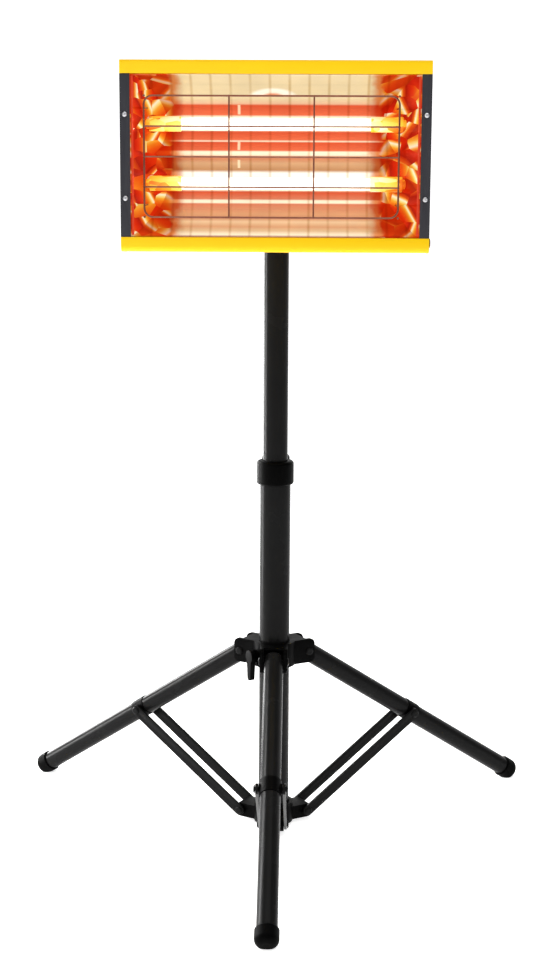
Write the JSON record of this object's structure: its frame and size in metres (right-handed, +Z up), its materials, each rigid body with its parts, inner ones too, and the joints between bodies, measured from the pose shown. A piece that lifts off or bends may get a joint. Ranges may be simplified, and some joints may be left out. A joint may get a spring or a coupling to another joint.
{
  "type": "outdoor heater",
  "caption": "Free-standing infrared patio heater: wide tilting reflector head with wire guard on a telescopic mast and folding tripod.",
  "frame": {"origin": "on the floor under the middle of the part's bounding box", "axes": "+Z up along the mast, -Y the way the heater's face looks, +X to the right seen from the front"},
  "size_m": [0.6066, 0.5288, 0.8673],
  "materials": {
    "yellow_coat": "satin powder coat",
    "cap_grey": "fine matt powder coat",
    "black_tube": "satin black paint",
    "black_plastic": "moulded, fine grain",
    "foot_rubber": "matt",
    "polished_reflector": "mirror polished, tinted by the lamps' glow",
    "quartz": "clear quartz, glowing",
    "filament": "glowing tungsten",
    "ceramic": "glazed ceramic",
    "guard_wire": "bright plated wire",
    "zinc_steel": "zinc plated"
  },
  "bodies": {
    "column": {"lower_tube": "black_tube", "column_plug": "black_plastic", "guide_bush": "black_plastic", "clamp_collar": "black_plastic", "lower_collar": "black_plastic", "lower_collar_pins": "black_tube"},
    "clamp_knob": {"clamp_knob": "black_plastic", "clamp_screw": "zinc_steel"},
    "front_brace": {"brace_front": "black_tube"},
    "front_leg": {"leg_front": "black_tube", "leg_plug_front": "black_plastic", "foot_front": "foot_rubber", "leg_clip_front": "black_plastic", "leg_pin_front": "black_tube"},
    "hub": {"hub": "black_plastic", "hub_pins": "black_tube"},
    "hub_lever": {"hub_lever": "black_plastic", "hub_lever_screw": "zinc_steel"},
    "right_leg": {"leg_right": "black_tube", "leg_plug_right": "black_plastic", "foot_right": "foot_rubber", "leg_clip_right": "black_plastic", "leg_pin_right": "black_tube"},
    "left_leg": {"leg_left": "black_tube", "leg_plug_left": "black_plastic", "foot_left": "foot_rubber", "leg_clip_left": "black_plastic", "leg_pin_left": "black_tube"},
    "right_brace": {"brace_right": "black_tube"},
    "left_brace": {"brace_left": "black_tube"},
    "mast": {"upper_tube": "black_tube", "mast_glide": "black_plastic"},
    "yoke": {"mast_adapter": "black_tube", "yoke": "black_tube", "yoke_screws": "zinc_steel"},
    "swivel_knob": {"swivel_knob": "black_plastic", "swivel_screw": "zinc_steel"},
    "head": {"housing_shell": "yellow_coat", "end_cap_left": "cap_grey", "end_cap_right": "cap_grey", "end_cap_screws": "zinc_steel", "tilt_bolts": "black_tube", "tilt_washers": "zinc_steel", "tilt_nuts": "zinc_steel", "reflector": "polished_reflector", "reflector_end_left": "polished_reflector", "reflector_end_right": "polished_reflector", "lamp_upper": "quartz", "lamp_lower": "quartz", "filament_upper": "filament", "filament_lower": "filament", "lamp_bases": "ceramic", "lamp_holders": "ceramic", "wire_guard": "guard_wire", "guard_stays": "guard_wire", "rear_cover": "black_plastic", "rear_cover_screws": "zinc_steel", "terminal_block": "ceramic", "cable_gland": "black_plastic", "gland_nut": "black_plastic"}
  },
  "joints": [
    {"name": "tripod_fold", "type": "hinge", "parent": "column", "child": "front_brace", "pos_m": [0, 0.04544, 0.012], "axis": [-1, 0, 0], "range_deg": [0, 52]},
    {"name": "front_leg_swing", "type": "hinge", "parent": "front_brace", "child": "front_leg", "pos_m": [0, -0.10207, 0.10927], "axis": [1, 0, 0], "range_deg": [0, 104]},
    {"name": "hub_rise", "type": "hinge", "parent": "front_leg", "child": "hub", "pos_m": [0, 0.04544, 0.20654], "axis": [-1, 0, 0], "range_deg": [0, 52]},
    {"name": "right_leg_swing", "type": "hinge", "parent": "hub", "child": "right_leg", "pos_m": [0.03291, 0.10244, 0.20654], "axis": [-0.5, 0.866, 0], "range_deg": [0, 52]},
    {"name": "left_leg_swing", "type": "hinge", "parent": "hub", "child": "left_leg", "pos_m": [-0.03291, 0.10244, 0.20654], "axis": [-0.5, -0.866, 0], "range_deg": [0, 52]},
    {"name": "right_brace_swing", "type": "hinge", "parent": "column", "child": "right_brace", "pos_m": [0.03291, 0.10244, 0.012], "axis": [0.5, -0.866, 0], "range_deg": [0, 52]},
    {"name": "left_brace_swing", "type": "hinge", "parent": "column", "child": "left_brace", "pos_m": [-0.03291, 0.10244, 0.012], "axis": [0.5, 0.866, 0], "range_deg": [0, 52]},
    {"name": "mast_height", "type": "slide", "parent": "column", "child": "mast", "axis": [0, 0, 1], "range_m": [-0.19, 0.14]},
    {"name": "clamp_knob_turn", "type": "hinge", "parent": "column", "child": "clamp_knob", "pos_m": [0, 0.11344, 0.424], "axis": [0, 1, 0], "range_deg": [-180, 180]},
    {"name": "hub_lever_turn", "type": "hinge", "parent": "hub", "child": "hub_lever", "pos_m": [-0.02252, 0.07044, 0.20554], "axis": [-0.866, -0.5, 0], "range_deg": [-30, 30]},
    {"name": "head_swivel", "type": "hinge", "parent": "mast", "child": "yoke", "pos_m": [0, 0.08344, 0.68], "axis": [0, 0, 1], "range_deg": [-90, 90]},
    {"name": "swivel_knob_turn", "type": "hinge", "parent": "yoke", "child": "swivel_knob", "pos_m": [0, 0.11144, 0.682], "axis": [0, 1, 0], "range_deg": [-180, 180]},
    {"name": "head_tilt", "type": "hinge", "parent": "yoke", "child": "head", "pos_m": [0, 0.04144, 0.678], "axis": [-1, 0, 0], "range_deg": [-35, 25]}
  ],
  "couplings": [
    {"joint": "front_leg_swing", "follows": "tripod_fold", "ratio": 2},
    {"joint": "hub_rise", "follows": "tripod_fold", "ratio": 1},
    {"joint": "right_leg_swing", "follows": "tripod_fold", "ratio": 1},
    {"joint": "left_leg_swing", "follows": "tripod_fold", "ratio": 1},
    {"joint": "right_brace_swing", "follows": "tripod_fold", "ratio": 1},
    {"joint": "left_brace_swing", "follows": "tripod_fold", "ratio": 1}
  ]
}
